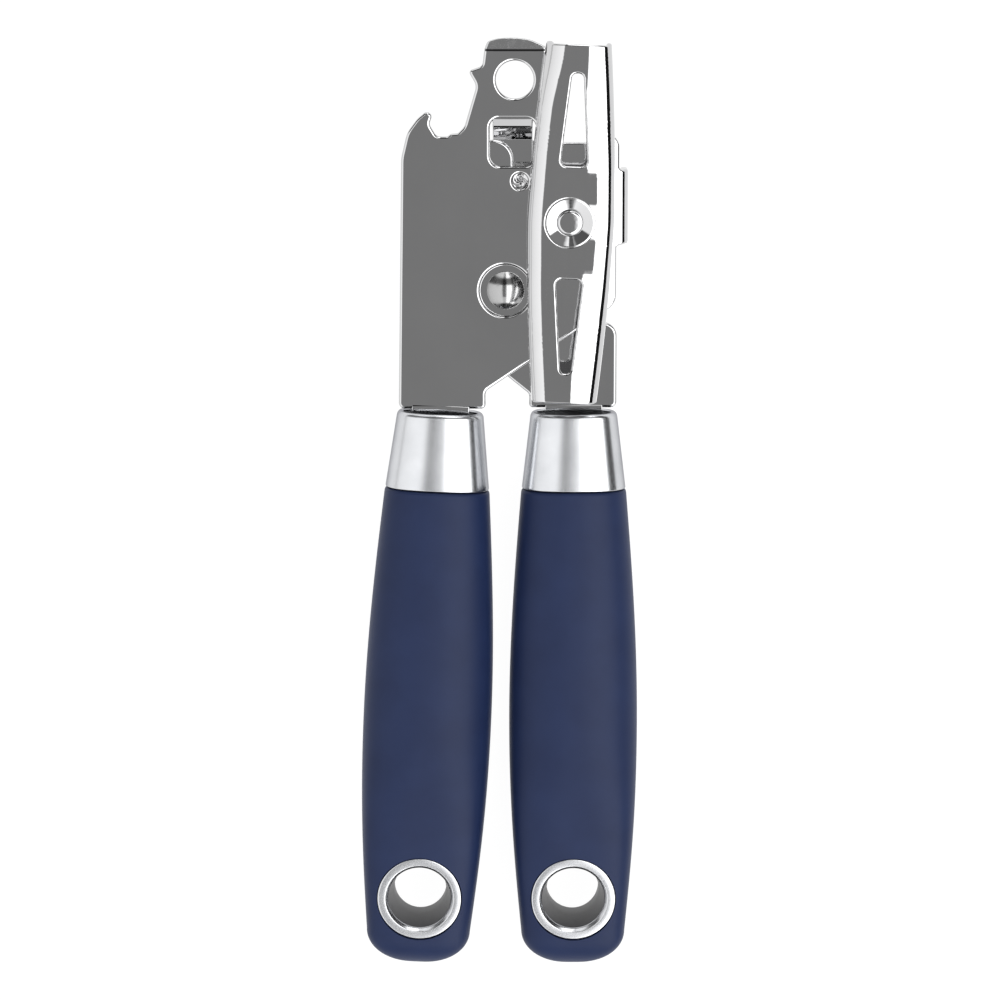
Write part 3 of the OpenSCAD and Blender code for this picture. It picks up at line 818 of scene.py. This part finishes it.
def make_cutter_axle():
    """The cutter's axle, with the uneven bright end that swaging left, seen down the sight hole."""
    low, high = span("cutter_axle", 2)
    foot = CUTTER.x - span("cutter_axle", 0)[0]
    gear_top = span("cutter_gear", 2)[1]
    plate_low = LOWER_TOP - SHEET
    foot_top = low + 0.9
    profile = [(0, low), (foot - 0.25, low), (foot, low + 0.25), (foot, foot_top), (AXLE_R, foot_top),
               (AXLE_R, gear_top + 0.1), (AXLE_COLLAR_R, gear_top + 0.1), (AXLE_COLLAR_R, plate_low),
               (SWAGED_R, plate_low)]
    profile += [(r, high - SWAGED_SINK) for r in reversed(spread(0.0, SWAGED_R, 0.06))]
    bm = spun(profile, 96)
    for vert in bm.verts:
        reach = math.hypot(vert.co.x, vert.co.y) / SWAGED_R
        if vert.co.z > high - SWAGED_SINK - 0.05 and reach < 0.99:
            turn = math.atan2(vert.co.y, vert.co.x)
            ripple = math.sin(3 * turn + 4 * reach) * math.sin(5 * reach)
            ripple += 0.4 * math.sin(2 * turn - 6 * reach) * reach
            vert.co.z += RIPPLE * ripple * (1 - reach ** 6)
    to_piece("cutter_axle_swaged", move(bm, (CUTTER.x, CUTTER.y, 0)), "lower_lever", ["cutter_axle"],
             [PLATE])


def make_drive_shaft():
    """The shaft from the feed wheel up through the crank, with its riveted head in the dimple."""
    low = span("drive_shaft", 2)[0]
    gear_top = span("drive_gear", 2)[1]
    cup = CRANK_TOP - CUP_DEPTH
    profile = [(0, low), (2.3, low), (2.6, low + 0.3), (2.6, gear_top), (JOURNAL_R, gear_top),
               (JOURNAL_R, COLLAR_Z), (COLLAR_R - 0.2, COLLAR_Z), (COLLAR_R, COLLAR_Z + 0.2),
               (COLLAR_R, cup - CRANK_SHEET),
               (SHAFT_TAIL_R, cup - CRANK_SHEET), (SHAFT_TAIL_R, cup - 0.1), (STUD_R, cup - 0.1)]
    centre = (STUD_R - STUD_EDGE_R, cup + STUD_HEIGHT - STUD_EDGE_R)
    profile += arc(centre, STUD_EDGE_R, 10, 90, 10) + [(0, cup + STUD_HEIGHT)]
    to_piece("drive_shaft_turned", move(spun(profile), (SHAFT.x, SHAFT.y, 0)), "crank",
             ["drive_shaft"], [PLATE])


# ---------------------------------------------------------------- handles

def swell(s):
    """How full the grip is at s below the ferrule's top: 0 at its ends, 1 at the belly."""
    if s < BELLY_S:
        return math.sin(math.pi / 2 * (s - GRIP_S) / (BELLY_S - GRIP_S))
    turn = min(math.pi / 2, math.pi / 2 * (s - BELLY_S) / (TAIL_S - BELLY_S))
    return 1 - (1 - math.cos(turn)) ** TAIL_TAPER


def tail(s):
    """How much of its size the grip keeps at s, where its foot rounds off."""
    reach = max(0.0, s - TAIL_S) / (HANDLE_LEN - TAIL_S)
    return math.sqrt(max(0.0, 1 - reach * reach))


def grip_half(s, neck, belly, end):
    """Half width or half thickness of the grip at s."""
    if s < BELLY_S:
        return neck + GRIP_PROUD + (belly - neck - GRIP_PROUD) * swell(s)
    return (end + (belly - end) * swell(s)) * tail(s)


def oval(s, w, t, squareness, count=128):
    """A ring of the handle: a superellipse in the plane at s."""
    ring = []
    for i in range(count):
        a = math.tau * i / count
        c, d = math.cos(a), math.sin(a)
        x = math.copysign(abs(c) ** (2 / squareness), c) * w
        z = math.copysign(abs(d) ** (2 / squareness), d) * t
        ring.append(Vector((x, -s, z)))
    return ring


def grip_ring(s):
    """The grip's outline at s, with a small radius where it meets the ferrule."""
    lead = GRIP_LEAD * (1 - math.sqrt(1 - (1 - min(1.0, (s - GRIP_S) / GRIP_LEAD_RUN)) ** 2))
    squareness = GRIP_SQUARENESS + TAIL_SQUARER * ease((s - BELLY_S) / 38)
    w = grip_half(s, FERRULE_W[1], BELLY_W, TAIL_W) - lead
    t = grip_half(s, FERRULE_T[1], BELLY_T, TAIL_T) - lead
    return oval(s, max(w, 0.01), max(t, 0.01), squareness)


def cut(piece, cutter_bm, name):
    """Cuts a shape out of a piece for good."""
    bmesh.ops.recalc_face_normals(cutter_bm, faces=cutter_bm.faces)
    mesh = bpy.data.meshes.new(name)
    cutter_bm.to_mesh(mesh)
    cutter_bm.free()
    tool = bpy.data.objects.new(name, mesh)
    bpy.context.scene.collection.objects.link(tool)
    modifier = piece.modifiers.new(name, "BOOLEAN")
    modifier.object = tool
    modifier.solver = "EXACT"
    bpy.context.view_layer.update()
    cut_mesh = bpy.data.meshes.new_from_object(piece.evaluated_get(bpy.context.evaluated_depsgraph_get()))
    piece.modifiers.remove(modifier)
    old = piece.data
    piece.data = cut_mesh
    bpy.data.meshes.remove(old)
    bpy.data.objects.remove(tool)
    bpy.data.meshes.remove(mesh)


def eye_tool(radius, low, high, side):
    """A round cutter for an eyelet's seat, square to the grip's sloping face."""
    tool = spun([(0, low), (radius, low), (radius, high), (0, high)], 128)
    return tilted(tool, side)


def tilted(bm, side):
    """Puts a turned piece that was made round the front eye's axis in place, front or back."""
    turn = Matrix.Rotation(EYE_TILT, 4, "X")
    if side:
        turn = Matrix.Scale(-1, 4, (0, 0, 1)) @ turn
    bmesh.ops.transform(bm, matrix=Matrix.Translation((0, -EYE_S, 0)) @ turn, verts=bm.verts)
    return bm


def placed(bm, top, lean):
    """Moves a handle's piece from the handle's own frame to its place."""
    matrix = Matrix.Translation((top[0], top[1], HANDLE_Z)) @ Matrix.Rotation(lean, 4, "Z")
    bmesh.ops.transform(bm, matrix=matrix, verts=bm.verts)
    return bm


def from_mesh(mesh):
    """A new bmesh with a copy of a mesh."""
    bm = bmesh.new()
    bm.from_mesh(mesh)
    return bm


def grip_form():
    """The grip as a closed form with its two eyelet seats and the bore between them."""
    stops = [GRIP_S + GRIP_LEAD_RUN * (1 - math.cos(math.pi / 2 * i / 6)) for i in range(7)]
    stops += spread(GRIP_S + GRIP_LEAD_RUN, TAIL_S, 1.3)[1:]
    stops += [TAIL_S + (HANDLE_LEN - TAIL_S) * math.sin(math.radians(a)) for a in range(4, 90, 4)]
    bm = skin([grip_ring(s) for s in stops])
    mesh = bpy.data.meshes.new("grip_form")
    bmesh.ops.recalc_face_normals(bm, faces=bm.faces)
    bm.to_mesh(mesh)
    bm.free()
    form = bpy.data.objects.new("grip_form", mesh)
    bpy.context.scene.collection.objects.link(form)
    for side in (0, 1):
        cut(form, eye_tool(EYELET_R + EYELET_GAP, EYELET_SEAT, 14, side), "seat")
    boss = spun([(0, -12), (BOSS_R, -12), (BOSS_R, 12), (0, 12)], 96)
    cut(form, move(boss, (0, -EYE_S, 0)), "boss")
    result = from_mesh(form.data)
    old = form.data
    bpy.data.objects.remove(form)
    bpy.data.meshes.remove(old)
    return result


def ferrule_ring(s, inset, count=128):
    """The ferrule's outline at s, drawn in by inset."""
    share = s / FERRULE_LEN
    w = FERRULE_W[0] + (FERRULE_W[1] - FERRULE_W[0]) * share - inset
    t = FERRULE_T[0] + (FERRULE_T[1] - FERRULE_T[0]) * share - inset
    return oval(s, w, t, FERRULE_SQUARENESS, count)


def loop_skin(rings):
    """A closed skin over rings that come back round to the first, like a tube's wall."""
    bm = bmesh.new()
    made = [[bm.verts.new(p) for p in ring] for ring in rings]
    for one, two in zip(made, made[1:] + made[:1]):
        for i in range(len(one)):
            k = (i + 1) % len(one)
            bm.faces.new((one[i], one[k], two[k], two[i]))
    return bm


def ferrule_form():
    """The drawn metal collar: a rolled rim round an open mouth, and a small radius at its foot."""
    steps = [math.radians(90 * i / 8) for i in range(9)]
    profile = [(FERRULE_LEN, RIM_WALL), (10, RIM_WALL), (0.5, RIM_WALL)]
    for b in steps[1:]:
        profile.append((RIM_INNER_R * (1 - math.sin(b)), RIM_WALL - RIM_INNER_R * (1 - math.cos(b))))
    profile += [(RIM_ROLL[0] * (1 - math.cos(b)), RIM_ROLL[1] * (1 - math.sin(b))) for b in steps]
    profile += [(s, 0) for s in spread(2, FERRULE_LEN - 0.35, 2)]
    for b in steps[1:]:
        foot = FERRULE_FOOT_R * (1 - math.sin(b))
        profile.append((FERRULE_LEN - foot, FERRULE_FOOT_R * (1 - math.cos(b))))
    return loop_skin([ferrule_ring(s, inset) for s, inset in profile])


def eyelet_form(side):
    """The eyelet's ring: a flat satin face, a small outer radius and a bright inner bevel."""
    bore = EYELET_BORES[side]
    profile = [(bore, EYELET_LOW), (EYELET_R, EYELET_LOW), (EYELET_R, 8.28)]
    profile += arc((EYELET_R - EYELET_OUTER_EDGE, 8.28), EYELET_OUTER_EDGE, 0, 90, 5)
    profile += arc((bore + 0.75, 8.3), EYELET_BEVEL_R, 90, 130, 4)
    profile += arc((bore + EYELET_BEVEL_R, 7.75), EYELET_BEVEL_R, 130, 180, 4)
    return tilted(spun(profile, 160), side)


def eye_circle(radius, z, tilt, count=128):
    """A circle round the hang eye's axis, level or square to the grip's sloping faces."""
    turn = Matrix.Rotation(math.copysign(tilt, z), 4, "X")
    shift = Matrix.Translation((0, -EYE_S, 0))
    turns = [math.tau * i / count for i in range(count)]
    return [shift @ turn @ Vector((radius * math.cos(a), radius * math.sin(a), z)) for a in turns]


def core_form():
    """The moulded core: the neck in the ferrule, the bar down the grip, and the eye's liner."""
    rings = [eye_circle(BOSS_R - 0.1, -LINER_Z, EYE_TILT), eye_circle(BOSS_R - 0.1, LINER_Z, EYE_TILT)]
    rings += [eye_circle(7.15, LINER_Z, EYE_TILT), eye_circle(LINER_R, 0.5, 0)]
    rings += [eye_circle(LINER_R, -6.0, 0), eye_circle(6.35, -LINER_Z, EYE_TILT)]
    bm = loop_skin(rings)
    inset = RIM_WALL + 0.05
    neck = [ferrule_ring(2.5, inset + 0.6)] + [ferrule_ring(s, inset) for s in (3.1, 8, 17.3)]
    join(bm, skin(neck))
    bar_low = 8.3 - EYE_S
    bar = rounded([
        (-BAR_HALF, bar_low, 2), (BAR_HALF, bar_low, 2), (BAR_HALF, BAR_TOP, 2), (-BAR_HALF, BAR_TOP, 2),
    ])
    join(bm, sheet(bar, [], BAR_THICK, 0.5))
    return bm


def make_handles():
    """Both handles, each from a ferrule, a core, a grip and two eyelets."""
    shared_grip = bpy.data.meshes.new("grip_shared")
    form = grip_form()
    form.to_mesh(shared_grip)
    form.free()
    for hand, top, lean, body in (("left", LEFT_TOP, LEFT_LEAN, "upper_lever"),
                                  ("right", RIGHT_TOP, 0.0, "lower_lever")):
        forms = [
            ("ferrule", ferrule_form(), SATIN, "satin_metal"),
            ("core", core_form(), CORE, "core_plastic"),
            ("grip", from_mesh(shared_grip), GRIP, "soft_grip"),
            ("eyelet_front", eyelet_form(0), SATIN, "satin_metal"),
            ("eyelet_back", eyelet_form(1), SATIN, "satin_metal"),
        ]
        for part, bm, material, slot in forms:
            node = hand + "_" + part
            to_piece(node + "_formed", placed(bm, top, lean), body, [node], [material])
    bpy.data.meshes.remove(shared_grip)


# ---------------------------------------------------------------- pieces that keep the CAD shape

KEPT = {
    "rivet_washer": (PLATE, "plate_chrome"),
    "shaft_bushing": (TURNED, "turned_steel"),
    "left_tang_pin": (TURNED, "turned_steel"),
    "right_tang_pin": (TURNED, "turned_steel"),
    "axle_washer": (TURNED, "turned_steel"),
    "crank_washer": (TURNED, "turned_steel"),
    "drive_gear": (GEAR, "gear_steel"),
    "feed_wheel": (GEAR, "gear_steel"),
    "cutter_gear": (GEAR, "gear_steel"),
    "cutting_wheel": (BLADE, "blade_steel"),
}


def finish_kept(node, material):
    """Gives a CAD node its metal and softens its edges."""
    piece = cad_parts[node]
    piece.data.materials.clear()
    piece.data.materials.append(material)
    soften = piece.modifiers.new("softened_edges", "BEVEL")
    soften.width = SOFT_EDGE * MM
    soften.segments = 2
    soften.limit_method = "ANGLE"
    soften.angle_limit = math.radians(35)
    piece.modifiers.new("weighted_normals", "WEIGHTED_NORMAL").keep_sharp = True


# ---------------------------------------------------------------- stage, light and camera

def ramp(tree, value, low, high, stops):
    """A curve of (angle, light) stops over an angle in degrees."""
    place = tree.nodes.new("ShaderNodeMapRange")
    place.inputs["From Min"].default_value = math.radians(low)
    place.inputs["From Max"].default_value = math.radians(high)
    tree.links.new(value, place.inputs["Value"])
    curve = tree.nodes.new("ShaderNodeValToRGB")
    curve.color_ramp.interpolation = "LINEAR"
    elements = curve.color_ramp.elements
    while len(elements) < len(stops):
        elements.new(0.5)
    for element, (angle, light) in zip(elements, stops):
        element.position = (angle - low) / (high - low)
    for element, (angle, light) in zip(elements, stops):
        element.color = (light, light, light, 1)
    tree.links.new(place.outputs["Result"], curve.inputs["Fac"])
    return curve.outputs["Color"]


def math_node(tree, operation, one, two):
    """A math node on two values, each a number or a socket."""
    node = tree.nodes.new("ShaderNodeMath")
    node.operation = operation
    for socket, value in zip(node.inputs, (one, two)):
        if isinstance(value, (int, float)):
            socket.default_value = value
        else:
            tree.links.new(value, socket)
    return node.outputs[0]


SIDE_TENT = [
    (-90, 0.25), (-82, 0.26), (-79, 0.38), (-20, 0.48), (-16, 0.48), (-12, 0.095), (3, 0.095),
    (6.5, 1.0), (58, 1.0), (61, 0.004), (90, 0.004),
]
FORE_TENT = [(-90, 0.02), (-62, 0.02), (-57, 1.0), (20, 1.0), (24, 0.1), (50, 0.1), (58, 1.0), (90, 1.0)]
FORE_FILL = [(-90, 0.0), (-62, 0.0), (-57, 0.34), (-33, 0.34), (-26, 0.0), (90, 0.0)]
TENT_LIGHT = 3.0
FLOOR_GLOW = 0.97
FLOOR_Z = -0.4
LENS = 139.3
SENSOR = 36
CAMERA_PLACE = Vector((0, 0.119, 0.8833))
CAMERA_AIM = Vector((0, 0.0016, 0.0123))


def make_tent():
    """The soft studio: a grey card overhead, white cards at the sides, and dark gaps fore and aft."""
    world = bpy.data.worlds.new("studio_tent")
    bpy.context.scene.world = world
    world.use_nodes = True
    tree = world.node_tree
    place = tree.nodes.new("ShaderNodeTexCoord")
    parts = tree.nodes.new("ShaderNodeSeparateXYZ")
    tree.links.new(place.outputs["Generated"], parts.inputs["Vector"])
    side = math_node(tree, "ARCTAN2", parts.outputs["X"], parts.outputs["Z"])
    fore = math_node(tree, "ARCSINE", parts.outputs["Y"], 0.0)
    across = ramp(tree, side, -90, 90, SIDE_TENT)
    along = ramp(tree, fore, -90, 90, FORE_TENT)
    cards = math_node(tree, "MULTIPLY", across, along)
    tent = math_node(tree, "MAXIMUM", cards, ramp(tree, fore, -90, 90, FORE_FILL))
    back = tree.nodes["Background"]
    tree.links.new(tent, back.inputs["Color"])
    back.inputs["Strength"].default_value = TENT_LIGHT


def make_floor():
    """The plain white floor, just below z = 0."""
    material, shader = base_material("floor_white", (0.08, 0.08, 0.08), 0, 0.9)
    shader.inputs["Specular IOR Level"].default_value = 0.0
    shader.inputs["Emission Color"].default_value = (1, 1, 1, 1)
    shader.inputs["Emission Strength"].default_value = FLOOR_GLOW
    bpy.ops.mesh.primitive_plane_add(size=6, location=(0, 0, FLOOR_Z * MM))
    floor = bpy.context.object
    floor.name = "studio_floor"
    floor.data.materials.append(material)


def make_camera():
    """The camera almost overhead, looking down at the middle of the opener."""
    data = bpy.data.cameras.new("camera")
    data.lens = LENS
    data.sensor_width = SENSOR
    camera = bpy.data.objects.new("camera", data)
    bpy.context.scene.collection.objects.link(camera)
    back = (CAMERA_PLACE - CAMERA_AIM).normalized()
    right = Vector((1, 0, 0))
    up = back.cross(right)
    turn = Matrix((right, up, back)).transposed()
    camera.matrix_world = Matrix.Translation(CAMERA_PLACE) @ turn.to_4x4()
    bpy.context.scene.camera = camera


make_upper_plate()
make_main_rivet()
make_lower_plate()
make_crank()
make_cutter_axle()
make_drive_shaft()
make_handles()
for kept_node, (kept_material, kept_slot) in KEPT.items():
    finish_kept(kept_node, kept_material)
make_tent()
make_floor()
make_camera()
bpy.context.scene.view_settings.view_transform = "Standard"
